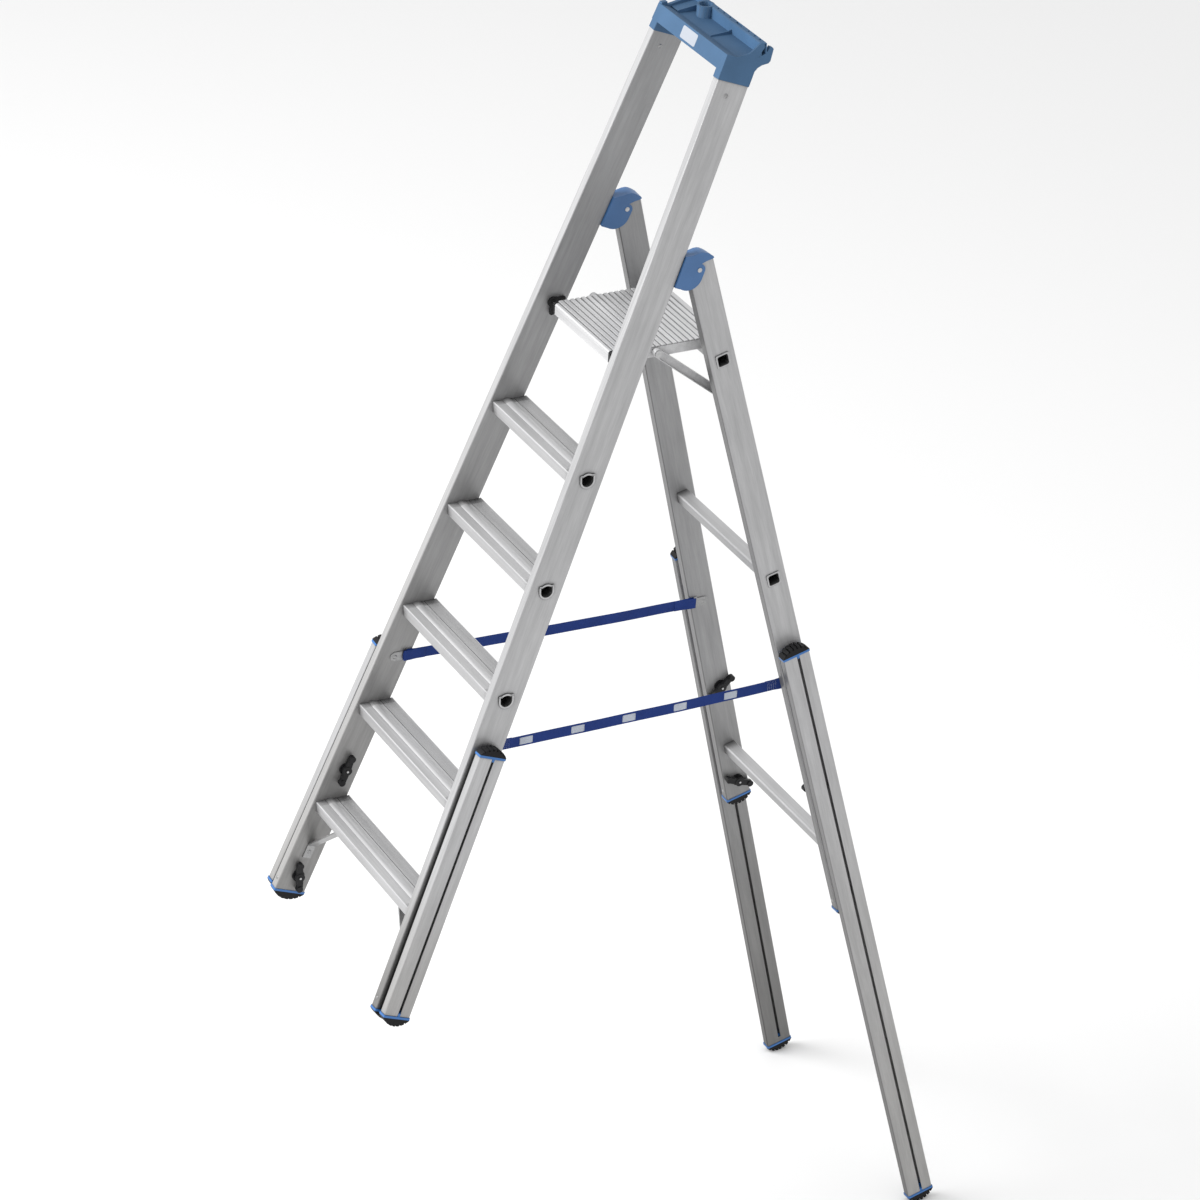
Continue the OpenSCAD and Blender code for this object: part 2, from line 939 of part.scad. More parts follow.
module strap_between(from, to, x_from, x_to) {
    long = norm([to[0] - from[0], to[1] - from[1]]);
    tilt = atan2(to[1] - from[1], to[0] - from[0]);
    yaw = atan2(x_from - x_to, long);
    translate([x_from, from[0], from[1]])
        rotate([tilt, 0, 0])
            rotate([0, 0, yaw])
                translate([-strap_thick, 0, -strap_width / 2])
                    cube([strap_thick, long / cos(yaw), strap_width]);
}

front_strap_y = -430;
front_strap_z = 1384.6;
rear_strap_y = 297;
rear_strap_z = 1369.4;
front_strap_x = 214.5;
rear_strap_x = 209.4;

module strap(lift) {
    gap = 0.3;
    color([0.14, 0.24, 0.5])
        difference() {
            strap_between([front_strap_y, front_strap_z], [rear_strap_y, rear_strap_z + lift],
                front_strap_x, rear_strap_x);
            at_front_bracket() strap_plate(bracket_reach);
            at_rear_bracket(lift)
                translate([-2 - gap, 0, -16])
                    cube([2 + 2 * gap, bracket_reach + gap, 32]);
        }
}

// ---------- tray ----------

tray_proud = 1.4;
tray_well = 2843;
tray_deck = 2868.5;
tray_skin = 2.6;
well_back = 157;
deck_back = 171.5;
sleeve_up = 2117.5;
fascia_low = on_fascia(2131);
fascia_top = on_fascia(2167);

// Point of the fascia plane, Y and Z, at a distance up the front slope
function on_fascia(up) = [
    front_foot_y + up * sin(front_lean) - tray_proud * cos(front_lean),
    front_foot_z + up * cos(front_lean) + tray_proud * sin(front_lean)];

// Section through the tray: fascia, sloping ledge, well floor, tall rear wall and deck
module tray_section() {
    polygon([fascia_low, fascia_top, [82.5, 2856], [102, 2847], [109, tray_well],
        [well_back, tray_well], [well_back, tray_deck - 2], [well_back + 2, tray_deck],
        [deck_back - 2, tray_deck], [deck_back, tray_deck - 2], [deck_back, 2846],
        [deck_back - tray_skin, 2846], [deck_back - tray_skin, tray_deck - tray_skin],
        [well_back + tray_skin, tray_deck - tray_skin],
        [well_back + tray_skin, tray_well - tray_skin], [108, tray_well - tray_skin],
        [100, 2845], [82.5, 2852.6], [81, 2851.5],
        fascia_low + [tray_skin, 0]]);
}

// Side plate above the sleeve, with the rear hook finger
module tray_side_outline() {
    polygon([fascia_low, fascia_top, [82.5, 2855], [101, 2847], [132, 2850], [147, 2860],
        [158, tray_deck],
        [165.5, tray_deck], [167.4, 2858.5], [160, 2850], [153.2, 2839], [168.5, 2844.6],
        [174.3, 2849.6], [180, 2857.6], [186.5, 2854.7], [187.7, 2851.6], [181.2, 2827],
        [176.3, 2822.8], [161.8, 2821], [151.7, 2816.6], [143.9, 2808.9], [137.8, 2792],
        [100, 2800]]);
}

// Room between the outer planes of the two sleeves, grown by the given distance
module tray_width_limit(grow) {
    bottom = front_foot_half + grow / cos(flare);
    low = sleeve_up - 40;
    high = front_stile_length + 120;
    translate([0, front_foot_y, front_foot_z])
        rotate([-front_lean, 0, 0])
            translate([0, 3 * stile_depth, 0])
                rotate([90, 0, 0])
                    linear_extrude(height = 4 * stile_depth)
                        polygon([[-bottom + low * tan(flare), low],
                            [bottom - low * tan(flare), low],
                            [bottom - high * tan(flare), high],
                            [-bottom + high * tan(flare), high]]);
}

module tray_sleeve() {
    on_front()
        translate([-stile_thick - tray_proud, -tray_proud, sleeve_up])
            linear_extrude(height = front_stile_length - sleeve_up + 4)
                rounded(stile_thick + 2 * tray_proud, stile_depth + 2 * tray_proud, corner);
}

// Cavity of the sleeve that takes the stile
module tray_socket() {
    on_front()
        translate([-stile_thick, 0, 0])
            linear_extrude(height = front_stile_length + 0.5)
                rounded(stile_thick, stile_depth, corner);
}

module tray_ends() {
    end_wall = 4.5;
    hook_thick = 10;
    hook_back = 14;
    intersection() {
        difference() {
            along_x(-200, 200) tray_side_outline();
            tray_width_limit(tray_proud - end_wall);
        }
        tray_width_limit(tray_proud);
    }
    intersection() {
        difference() {
            along_x(-200, 200)
                intersection() {
                    tray_side_outline();
                    translate([well_back + 1, tray_well - 30]) square([60, 60]);
                }
            tray_width_limit(tray_proud - hook_thick);
        }
        tray_width_limit(tray_proud);
    }
    intersection() {
        difference() {
            along_x(-200, 200)
                polygon([[150, 2820], [161.8, 2822], [deck_back, 2832],
                    [deck_back, tray_deck - 4], [well_back, tray_deck - 4],
                    [well_back, tray_well - 2], [150, tray_well - 2]]);
            tray_width_limit(tray_proud - hook_back);
        }
        tray_width_limit(tray_proud - hook_thick + 0.01);
    }
    both_sides() tray_sleeve();
}

module tray_deck_slots() {
    for (x = [-49, -24, 1, 81, 107, 128])
        translate([x - 2.5, 163, tray_deck - 12]) cube([5, 5, 20]);
    translate([28, 163, tray_deck - 12]) cube([26, 5, 20]);
}

// Raised left end of the tray, with its corner block
module tray_left_end() {
    along_x(-160, -140)
        polygon([[84, 2855], [96, 2851], [well_back, tray_deck - 4],
            [well_back, tray_well - tray_skin], [108, tray_well - tray_skin],
            [100, 2845], [86, 2850]]);
    along_x(-160, -112)
        polygon([[104, 2848.5], [well_back, 2856], [well_back, tray_well - 1],
            [108, tray_well - 1]]);
    translate([-160, 80.5, 2850]) cube([22, 13.5, 10]);
}

module tray() {
    cup_x = -81;
    cup_y = 152.5;
    boss = cup_radius + 4.5;
    divider_x = 24;
    color([0.4, 0.52, 0.66])
        difference() {
            union() {
                intersection() {
                    union() {
                        along_x(-160, 160) tray_section();
                        tray_left_end();
                        along_x(divider_x - 1.5, divider_x + 1.5)
                            polygon([[106, tray_well - 1], [well_back + 1, tray_well - 1],
                                [well_back + 1, tray_well + 9], [150, tray_well + 6],
                                [108, tray_well + 3]]);
                        translate([cup_x, cup_y, tray_well - 6])
                            cylinder(r = boss, h = tray_deck - tray_well + 6);
                    }
                    tray_width_limit(tray_proud);
                }
                tray_ends();
            }
            translate([cup_x, cup_y, tray_well - 3])
                cylinder(r = cup_radius, h = 80);
            tray_deck_slots();
            both_sides() tray_socket();
        }
}

// ---------- nodes ----------

other_side() front_stile();  // front_stile_left
front_stile();  // front_stile_right
tread(0);  // tread_1
tread(1);  // tread_2
tread(2);  // tread_3
tread(3);  // tread_4
tread(4);  // tread_5
tray();
other_side() hinge_block();  // hinge_block_left
hinge_block();  // hinge_block_right
hinge_pins();
front_feet();
front_foot_rims();
front_strap_brackets();
front_rivets();
tread_braces();
platform_bolts();
front_clamp_bolts();
front_guides();
other_side() strap(0);  // strap_left
strap(right_strap_lift);  // strap_right
other_side() rear_stile(0);  // rear_stile_left
rear_stile(right_strap_lift);  // rear_stile_right
cross_bar(cross_bars[0]);  // cross_bar_top
cross_bar(cross_bars[1]);  // cross_bar_middle
cross_bar(cross_bars[2]);  // cross_bar_low
rear_feet();
rear_foot_rims();
rear_strap_brackets();
rear_rivets();
strut_pins();
rear_clamp_bolts();
rear_guides();
hinge_bushes();
platform();
platform_clips();
other_side() strut();  // strut_left
strut();  // strut_right
strut_pivots();
color("silver") other_side() at_front_slider() slider_section(front_slider_length);  // slider_front_left
color("blue") other_side() at_front_slider() slider_rims(front_slider_length);  // slider_front_left_rims
color("black") other_side() at_front_slider() slider_rubber(front_slider_length);  // slider_front_left_rubber
color("silver") at_front_slider() slider_section(front_slider_length);  // slider_front_right
color("blue") at_front_slider() slider_rims(front_slider_length);  // slider_front_right_rims
color("black") at_front_slider() slider_rubber(front_slider_length);  // slider_front_right_rubber
color("silver") other_side() at_rear_slider() slider_section(rear_slider_length);  // slider_rear_left
color("blue") other_side() at_rear_slider() slider_rims(rear_slider_length);  // slider_rear_left_rims
color("black") other_side() at_rear_slider() slider_rubber(rear_slider_length);  // slider_rear_left_rubber
color("silver") at_rear_slider() slider_section(rear_slider_length);  // slider_rear_right
color("blue") at_rear_slider() slider_rims(rear_slider_length);  // slider_rear_right_rims
color("black") at_rear_slider() slider_rubber(rear_slider_length);  // slider_rear_right_rubber
other_side() knob_on_front(front_knobs[0], 111);  // knob_front_left_low
other_side() knob_on_front(front_knobs[1], 90);  // knob_front_left_high
knob_on_front(front_knobs[0], 60);  // knob_front_right_low
knob_on_front(front_knobs[1], 75);  // knob_front_right_high
other_side() knob_on_rear(rear_knobs[1], 144);  // knob_rear_left_low
other_side() knob_on_rear(rear_knobs[0], 27);  // knob_rear_left_high
knob_on_rear(rear_knobs[1], 126);  // knob_rear_right_low
knob_on_rear(rear_knobs[0], 27);  // knob_rear_right_high
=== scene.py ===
"""Folding platform stepladder with sliding leg extensions: materials, soft straps, stage."""
import math
from collections import namedtuple

import bmesh
import bpy
from mathutils import Matrix, Vector


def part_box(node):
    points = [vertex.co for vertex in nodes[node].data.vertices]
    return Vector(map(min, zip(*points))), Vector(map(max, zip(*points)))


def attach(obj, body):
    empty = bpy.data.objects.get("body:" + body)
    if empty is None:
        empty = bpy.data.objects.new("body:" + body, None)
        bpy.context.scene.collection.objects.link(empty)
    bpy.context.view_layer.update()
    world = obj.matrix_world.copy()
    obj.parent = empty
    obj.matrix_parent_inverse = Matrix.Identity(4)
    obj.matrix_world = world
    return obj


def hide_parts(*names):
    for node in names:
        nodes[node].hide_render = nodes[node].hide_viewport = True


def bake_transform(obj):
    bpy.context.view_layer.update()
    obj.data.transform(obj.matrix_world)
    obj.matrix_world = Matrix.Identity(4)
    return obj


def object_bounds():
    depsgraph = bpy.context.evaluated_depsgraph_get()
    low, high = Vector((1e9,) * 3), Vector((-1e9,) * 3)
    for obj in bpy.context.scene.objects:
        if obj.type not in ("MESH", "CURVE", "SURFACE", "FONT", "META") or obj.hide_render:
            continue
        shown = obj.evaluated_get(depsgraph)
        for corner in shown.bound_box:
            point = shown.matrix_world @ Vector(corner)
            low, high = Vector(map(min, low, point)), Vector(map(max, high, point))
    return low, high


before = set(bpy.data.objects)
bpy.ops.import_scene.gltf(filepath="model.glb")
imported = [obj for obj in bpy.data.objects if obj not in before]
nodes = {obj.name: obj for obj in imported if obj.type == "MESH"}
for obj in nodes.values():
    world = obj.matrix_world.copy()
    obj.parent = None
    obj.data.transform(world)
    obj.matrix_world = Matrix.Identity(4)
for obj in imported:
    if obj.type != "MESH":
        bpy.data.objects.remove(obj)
cad_low, cad_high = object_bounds()
for old in [o for o in bpy.context.scene.objects if o.type in {"CAMERA", "LIGHT"}]:
    bpy.data.objects.remove(old)

# ---------------------------------------------------------------- camera

# Where the photograph was taken from; only the lens and the sensor are in millimetres
EYE = Vector((8.3929, -4.6409, 6.7657))
LOOK = Vector((-0.77085, 0.42040, -0.47860)).normalized()
RIGHT_HINT = Vector((0.45529, 0.88907, 0.04763))
LENS = 151.78
SENSOR = 36.0
VIEW_LIMIT = 200.0

scene = bpy.context.scene
camera_data = bpy.data.cameras.new("camera")
camera = bpy.data.objects.new("camera", camera_data)
scene.collection.objects.link(camera)
scene.camera = camera
camera_data.sensor_width = SENSOR
camera_data.lens = LENS
camera_data.dof.use_dof = False
camera_data.clip_end = VIEW_LIMIT
view_right = (RIGHT_HINT - LOOK * RIGHT_HINT.dot(LOOK)).normalized()
view_up = view_right.cross(LOOK)
camera.matrix_world = Matrix((
    (view_right.x, view_up.x, -LOOK.x, EYE.x),
    (view_right.y, view_up.y, -LOOK.y, EYE.y),
    (view_right.z, view_up.z, -LOOK.z, EYE.z),
    (0, 0, 0, 1),
))

# ---------------------------------------------------------------- material tools

# The part of its 0 to 1 range that a noise texture mostly fills
NOISE_RANGE = (0.3, 0.7)
AO_SAMPLES = 8
AO_POWER = 1.8
# A groove's shade ends this far below the ribs, and starts this far below its floor
RIB_MARGIN = 0.0002
FLOOR_MARGIN = 0.0004

# A ribbed plate: its top, how far its groove floors lie below it, how much painted shade they get, and
# the Y where they start
Ribs = namedtuple("Ribs", "top depth dark start_y")


class Mat:
    """A node material built round the Principled shader."""

    def __init__(self, name):
        self.mat = bpy.data.materials.new(name)
        self.mat.use_nodes = True
        self.tree = self.mat.node_tree
        self.bsdf = self.tree.nodes["Principled BSDF"]

    def add(self, kind, **settings):
        node = self.tree.nodes.new(kind)
        for key, value in settings.items():
            setattr(node, key, value)
        return node

    def link(self, output, socket):
        self.tree.links.new(output, socket)

    def feed(self, output, socket_name):
        self.link(output, self.bsdf.inputs[socket_name])

    def set(self, **values):
        for key, value in values.items():
            self.bsdf.inputs[key.replace("_", " ")].default_value = value

    def coords(self, scale, lean=0.0):
        """The object's own coordinates, turned about X first and then stretched."""
        turned = self.add("ShaderNodeMapping")
        turned.inputs["Rotation"].default_value = (lean, 0, 0)
        self.link(self.add("ShaderNodeTexCoord").outputs["Object"], turned.inputs["Vector"])
        mapping = self.add("ShaderNodeMapping")
        mapping.inputs["Scale"].default_value = scale
        self.link(turned.outputs["Vector"], mapping.inputs["Vector"])
        return mapping.outputs["Vector"]

    def noise(self, vector, detail, rough=0.5):
        node = self.add("ShaderNodeTexNoise")
        node.inputs["Scale"].default_value = 1.0
        node.inputs["Detail"].default_value = detail
        node.inputs["Roughness"].default_value = rough
        self.link(vector, node.inputs["Vector"])
        return node.outputs["Fac"]

    def ramp(self, fac, start, stop):
        """A colour between two stops, each a place and a colour."""
        node = self.add("ShaderNodeValToRGB")
        for element, (place, colour) in zip(node.color_ramp.elements, (start, stop)):
            element.position = place
            element.color = (*colour, 1.0)
        self.link(fac, node.inputs["Fac"])
        return node.outputs["Color"]

    def span(self, fac, low, high, start=0.0, stop=1.0):
        """Maps start to stop onto low to high, and holds the ends."""
        node = self.add("ShaderNodeMapRange")
        for key, value in (("From Min", start), ("From Max", stop), ("To Min", low), ("To Max", high)):
            node.inputs[key].default_value = value
        self.link(fac, node.inputs["Value"])
        return node.outputs["Result"]

    def vary(self, fac, share):
        """A noise as a factor round 1, up or down by the given share."""
        return self.span(fac, 1 - share, 1 + share, *NOISE_RANGE)

    def math(self, operation, *values, clamp=False):
        node = self.add("ShaderNodeMath", operation=operation, use_clamp=clamp)
        for socket, value in zip(node.inputs, values):
            if isinstance(value, (int, float)):
                socket.default_value = value
            else:
                self.link(value, socket)
        return node.outputs[0]

    def split(self, output):
        """X, Y and Z of one of the object's own texture outputs."""
        node = self.add("ShaderNodeSeparateXYZ")
        self.link(self.add("ShaderNodeTexCoord").outputs[output], node.inputs[0])
        return node.outputs

    def facing(self, normal_part, sharpness):
        """Mask of the faces turned to one side; a negative sharpness takes the other side."""
        return self.math("MULTIPLY", normal_part, sharpness, clamp=True)

    def darken(self, value, mask, share):
        """Takes the share away from the value where the mask is 1."""
        return self.math("MULTIPLY", value, self.math("MULTIPLY_ADD", mask, -share, 1.0))

    def tinted(self, fac, start, stop):
        node = self.add("ShaderNodeMix", data_type="RGBA")
        node.inputs[6].default_value = (*start, 1.0)
        node.inputs[7].default_value = (*stop, 1.0)
        self.link(fac, node.inputs[0])
        return node.outputs[2]

    def times(self, colour, value):
        node = self.add("ShaderNodeVectorMath", operation="SCALE")
        self.link(colour, node.inputs[0])
        self.link(value, node.inputs["Scale"])
        return node.outputs[0]

    def paint(self, colour, value):
        """Base colour: one colour times a value that varies over the surface."""
        node = self.add("ShaderNodeCombineXYZ")
        for socket, part in zip(node.inputs, colour):
            socket.default_value = part
        self.feed(self.times(node.outputs[0], value), "Base Color")

    def painted_hole_shade(self, value, distance, end_x):
        """Paints shade onto the value inside holes, from ambient occlusion, and with end_x only beyond
        that distance from X = 0.
        """
        node = self.add("ShaderNodeAmbientOcclusion", samples=AO_SAMPLES)
        node.inputs["Distance"].default_value = distance
        shade = self.math("POWER", node.outputs["AO"], AO_POWER)
        if end_x is not None:
            x = self.math("ABSOLUTE", self.split("Object")[0])
            between = self.math("LESS_THAN", x, end_x)
            shade = self.math("MAXIMUM", shade, between)
        return self.math("MULTIPLY", value, shade)

    def painted_groove_shade(self, value, ribs):
        """Paints shade onto the value on each groove floor between a plate's ribs."""
        _, y, z = self.split("Object")
        sunk = self.span(z, 1.0, 0.0, ribs.top - ribs.depth, ribs.top - RIB_MARGIN)
        plate = self.math("GREATER_THAN", z, ribs.top - ribs.depth - FLOOR_MARGIN)
        behind = self.math("GREATER_THAN", y, ribs.start_y)
        mask = self.math("MULTIPLY", self.math("MULTIPLY", sunk, plate), behind)
        return self.darken(value, mask, ribs.dark)

    def bump(self, height, strength, distance=0.0003):
        node = self.add("ShaderNodeBump")
        node.inputs["Strength"].default_value = strength
        node.inputs["Distance"].default_value = distance
        self.link(height, node.inputs["Height"])
        self.feed(node.outputs["Normal"], "Normal")


def grey(value):
    """Neutral metal colour, a touch cool."""
    return (value, value, value * 1.005)


def drawn(axis, across, along):
    """Noise scale for lines that run along one axis, in cells per metre."""
    return tuple(along if letter == axis else across for letter in "xyz")


# ---------------------------------------------------------------- kinds of material

ALU_METAL = 0.45
ALU_ROUGH = 0.4
ALU_LINE_RANGE = (0.25, 0.75)
ALU_LINE_BUMP = (0.10, 0.0004)
# How fast painted shade sets in as a face turns down or to +X
ALU_DOWN_SHARPNESS = 5.0
ALU_SIDE_SHARPNESS = 2.0
# Tints of the metal high and low; the warm low one goes with painted shade on lower parts
HIGH_TINT = (1.0, 1.0, 1.012)
LOW_TINT = (1.0, 1.0, 1.01)
LOW_PAINTED_SHADE_TINT = (1.0, 0.985, 0.965)


def aluminium(name, lean=0.0, axis="z", light=0.45, painted_under_shade=0.35, painted_inner_shade=0.0,
              low_shade=0.0, low_top=1.0, low_span=1.0, hole_shade_reach=0.0, end_x=None, ribs=None):
    """Mill finish extrusion, with its drawing lines along the section.

    under paints shade onto what faces down and inner onto what faces +X. low_shade paints shade,
    with a warmer tint, onto what is lower than low_top, in full from low_span below it. deep is
    how far round a point the walls of a hole paint shade into it, only beyond end_x if given.
    ribs describes a ribbed plate, with painted shade on its groove floors.
    """
    m = Mat(name)
    lines = m.noise(m.coords(drawn(axis, 330, 2.2), lean), 4.0, 0.65)
    # Wide soft lengthwise bands in the colour: partly the drawn metal's own banding, partly painted
    # reflection streaks
    bands = m.noise(m.coords(drawn(axis, 70, 1.0), lean), 2.0)
    cloud = m.noise(m.coords((7, 7, 7)), 4.0)
    value = m.math("MULTIPLY", m.span(lines, light * 0.9, light * 1.1, *ALU_LINE_RANGE),
                   m.vary(bands, 0.08))
    value = m.math("MULTIPLY", value, m.vary(cloud, 0.03))
    nx, _, nz = m.split("Normal")
    # Painted shade on faces that turn down
    value = m.darken(value, m.facing(nz, -ALU_DOWN_SHARPNESS), painted_under_shade)
    low = m.span(m.split("Object")[2], 1.0, 0.0, low_top - low_span, low_top)
    # Painted shade on faces that turn to +X
    if painted_inner_shade:
        value = m.darken(value, m.facing(nx, ALU_SIDE_SHARPNESS), painted_inner_shade)
    # Painted shade on lower parts
    if low_shade:
        value = m.darken(value, low, low_shade)
    # Painted shade inside holes and slots
    if hole_shade_reach:
        value = m.painted_hole_shade(value, hole_shade_reach, end_x)
    if ribs:
        # Painted shade on the groove floors
        value = m.painted_groove_shade(value, ribs)
    # The tint warms where lower parts get painted shade
    tint = m.tinted(low, HIGH_TINT, LOW_PAINTED_SHADE_TINT if low_shade else LOW_TINT)
    m.feed(m.times(tint, value), "Base Color")
    m.feed(m.span(lines, ALU_ROUGH - 0.08, ALU_ROUGH + 0.12), "Roughness")
    m.set(Metallic=ALU_METAL)
    m.bump(lines, *ALU_LINE_BUMP)
    return m.mat


def steel(name, light, rough):
    """Zinc plated steel with fine specks."""
    m = Mat(name)
    speck = m.noise(m.coords((300, 300, 300)), 4.0)
    dull, bright = NOISE_RANGE
    m.feed(m.ramp(speck, (dull, grey(light * 0.8)), (bright, grey(light * 1.1))), "Base Color")
    m.feed(m.span(speck, rough - 0.06, rough + 0.12), "Roughness")
    m.set(Metallic=1.0)
    m.bump(speck, 0.08)
    return m.mat


# Painted shade on plastic faces that turn down, and how fast painted shade sets in as a face turns
PLASTIC_PAINTED_UNDER_SHADE = 0.3
PLASTIC_DOWN_SHARPNESS = 4.0
PLASTIC_SIDE_SHARPNESS = 1.3


def plastic(name, colour, rough, grain=900, spread=0.08, bump=0.15, side=0.0, top=0.0, shine=0.5):
    """Moulded plastic with a fine spark-eroded texture and painted shade on what faces down; side and
    top paint shade onto what faces +X and +Z.
    """
    m = Mat(name)
    fine = m.noise(m.coords((grain, grain, grain)), 2.0)
    cloud = m.noise(m.coords((14, 14, 14)), 3.0)
    nx, _, nz = m.split("Normal")
    value = m.math("MULTIPLY", m.vary(cloud, spread), m.vary(fine, spread / 2))
    # Painted shade on faces that turn down
    value = m.darken(value, m.facing(nz, -PLASTIC_DOWN_SHARPNESS), PLASTIC_PAINTED_UNDER_SHADE)
    # Painted shade on faces that turn to +X (side) and +Z (top)
    for normal_part, shade in ((nx, side), (nz, top)):
        if shade:
            value = m.darken(value, m.facing(normal_part, PLASTIC_SIDE_SHARPNESS), shade)
    m.paint(colour, value)
    m.feed(m.span(fine, rough - 0.08, rough + 0.08), "Roughness")
    m.set(Specular_IOR_Level=shine)
    m.bump(fine, bump)
    return m.mat


WEFT_PER_WARP = 0.7


def woven(name, colour, pitch):
    """Polyester webbing: warp and weft ridges over a slow fading."""
    m = Mat(name)
    turns = math.tau / pitch
    _, y, z = m.split("Object")
    warp = m.math("SINE", m.math("MULTIPLY", z, turns))
    weft = m.math("SINE", m.math("MULTIPLY", y, turns * WEFT_PER_WARP))
    weave = m.math("MULTIPLY", warp, weft)
    fade = m.noise(m.coords((25, 25, 25)), 3.0)
    m.paint(colour, m.math("MULTIPLY", m.span(weave, 0.82, 1.16, -1.0, 1.0), m.vary(fade, 0.08)))
    m.feed(m.span(weave, 0.6, 0.8, -1.0, 1.0), "Roughness")
    m.set(Sheen_Weight=0.05, Sheen_Roughness=0.4, Specular_IOR_Level=0.2)
    m.bump(weave, 0.5)
    return m.mat


# ---------------------------------------------------------------- the ladder's materials

FRONT_LEAN = math.radians(21.14)
REAR_LEAN = math.radians(14.95)
# Copies of one aluminium whose lightness and painted shade differ part by part, standing in for how
# each part is lit
alu_front_right = aluminium("alu_front_right", FRONT_LEAN, light=0.46, low_shade=0.55,
                            low_top=1.2, low_span=0.35, hole_shade_reach=0.011)
alu_front_left = aluminium("alu_front_left", FRONT_LEAN, light=0.47, painted_inner_shade=0.22,
                           low_shade=0.22, low_top=2.2, low_span=1.6)
alu_rear_right = aluminium("alu_rear_right", -REAR_LEAN, light=0.45, painted_under_shade=0.66,
                           low_shade=0.25, low_top=1.3, low_span=1.3)
alu_rear_left = aluminium("alu_rear_left", -REAR_LEAN, light=0.48, painted_under_shade=0.66, painted_inner_shade=0.2,
                          low_shade=0.5, low_top=1.2, low_span=1.2)
alu_slider_front = aluminium("alu_slider_front", FRONT_LEAN, light=0.46, low_shade=0.25,
                             low_top=1.15, low_span=0.35, hole_shade_reach=0.012)

TREADS = [f"tread_{number}" for number in range(1, 6)]
TREAD_NOSE = 0.012
TREAD_GROOVE = 0.0014
# Share of painted shade on a tread's groove floors
TREAD_GROOVE_PAINTED_SHADE = 0.85
TREAD_RIBS_FROM = 0.006
# How much of a tread's end is the open tube, with its collar
TUBE_MOUTH = 0.045
# How far round a point the walls of a tube paint shade into it
TUBE_SHADE_REACH = 0.03


def tread_finish(name):
    """A tread's own material, with painted shade on each groove floor and in its open tube; its
    plate's top is taken at its nose, as the collars stand higher.
    """
    low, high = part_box(name)
    plate_top = max(v.co.z for v in nodes[name].data.vertices if v.co.y < low.y + TREAD_NOSE)
    ribs = Ribs(plate_top, TREAD_GROOVE, TREAD_GROOVE_PAINTED_SHADE, low.y + TREAD_RIBS_FROM)
    return aluminium("alu_" + name, 0.0, "x", light=0.50, hole_shade_reach=TUBE_SHADE_REACH,
                     end_x=high.x - TUBE_MOUTH, ribs=ribs)


alu_treads = {name: tread_finish(name) for name in TREADS}

PLATFORM_GROOVE = 0.0024
# Share of painted shade on the platform's groove floors
PLATFORM_GROOVE_PAINTED_SHADE = 0.72
PLATFORM_RIBS_FROM = 0.010
platform_low, platform_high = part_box("platform")
alu_platform = aluminium("alu_platform", 0.0, "x", light=0.58,
                         ribs=Ribs(platform_high.z, PLATFORM_GROOVE, PLATFORM_GROOVE_PAINTED_SHADE,
                                   platform_low.y + PLATFORM_RIBS_FROM))
# Painted shade inside the bar's open tube
alu_bar = aluminium("alu_bar", 0.0, "x", light=0.46, hole_shade_reach=TUBE_SHADE_REACH)
# The strut's faces that turn down get a little painted shade
alu_flat = aluminium("alu_flat", 0.0, "x", light=0.52, painted_under_shade=0.15)
zinc = steel("zinc_steel", 0.55, 0.3)
plated = steel("plated_plate", 0.36, 0.36)
# The tray's top and +X faces get painted shade
tray_blue = plastic("tray_blue", (0.068, 0.146, 0.266), 0.6, side=0.03, top=0.38, shine=0.2)
hinge_blue = plastic("hinge_blue", (0.058, 0.148, 0.33), 0.42)
rim_blue = plastic("rim_blue", (0.035, 0.15, 0.42), 0.35)
black = plastic("black_plastic", (0.006, 0.006, 0.007), 0.42, shine=0.28)
rubber = plastic("rubber", (0.008, 0.008, 0.009), 0.62, grain=500, spread=0.2, bump=0.3, shine=0.22)
label_white = plastic("label_white", (0.37, 0.40, 0.45), 0.35, grain=1200, spread=0.03, bump=0.05)
webbing = woven("webbing", (0.011, 0.036, 0.19), pitch=0.0016)
patch_white = woven("patch_white", (0.50, 0.54, 0.62), pitch=0.0009)

SLIDER_RIMS = ("slider_front_left_rims", "slider_front_right_rims",
               "slider_rear_left_rims", "slider_rear_right_rims")
SLIDER_RUBBERS = ("slider_front_left_rubber", "slider_front_right_rubber",
                  "slider_rear_left_rubber", "slider_rear_right_rubber")

# The first row that a node's name starts with counts, so longer names come before shorter ones
NODE_FINISH = (
    (SLIDER_RIMS + ("front_foot_rims", "rear_foot_rims"), rim_blue),
    (SLIDER_RUBBERS + ("front_feet", "rear_feet"), rubber),
    (("knob", "platform_clips", "front_guides", "rear_guides", "hinge_bushes"), black),
    (("strap_left", "strap_right"), webbing),
    (("tray",), tray_blue),
    (("hinge_block",), hinge_blue),
    (("cross_bar",), alu_bar),
    (("platform_bolts",), zinc),
    (("front_strap_brackets", "rear_strap_brackets", "tread_braces", "front_rivets",
      "rear_rivets"), plated),
    (("platform",), alu_platform),
    (("strut_left", "strut_right"), alu_flat),
    (("front_stile_right",), alu_front_right),
    (("front_stile_left",), alu_front_left),
    (("slider_front",), alu_slider_front),
    (("rear_stile_right", "slider_rear_right"), alu_rear_right),
    (("rear_stile_left", "slider_rear_left"), alu_rear_left),
)


def finish_for(name):
    """A node's material; pins, pivots and bolts that no row names are zinc plated."""
    if name in alu_treads:
        return alu_treads[name]
    for starts, finish in NODE_FINISH:
        if name.startswith(starts):
            return finish
    return zinc


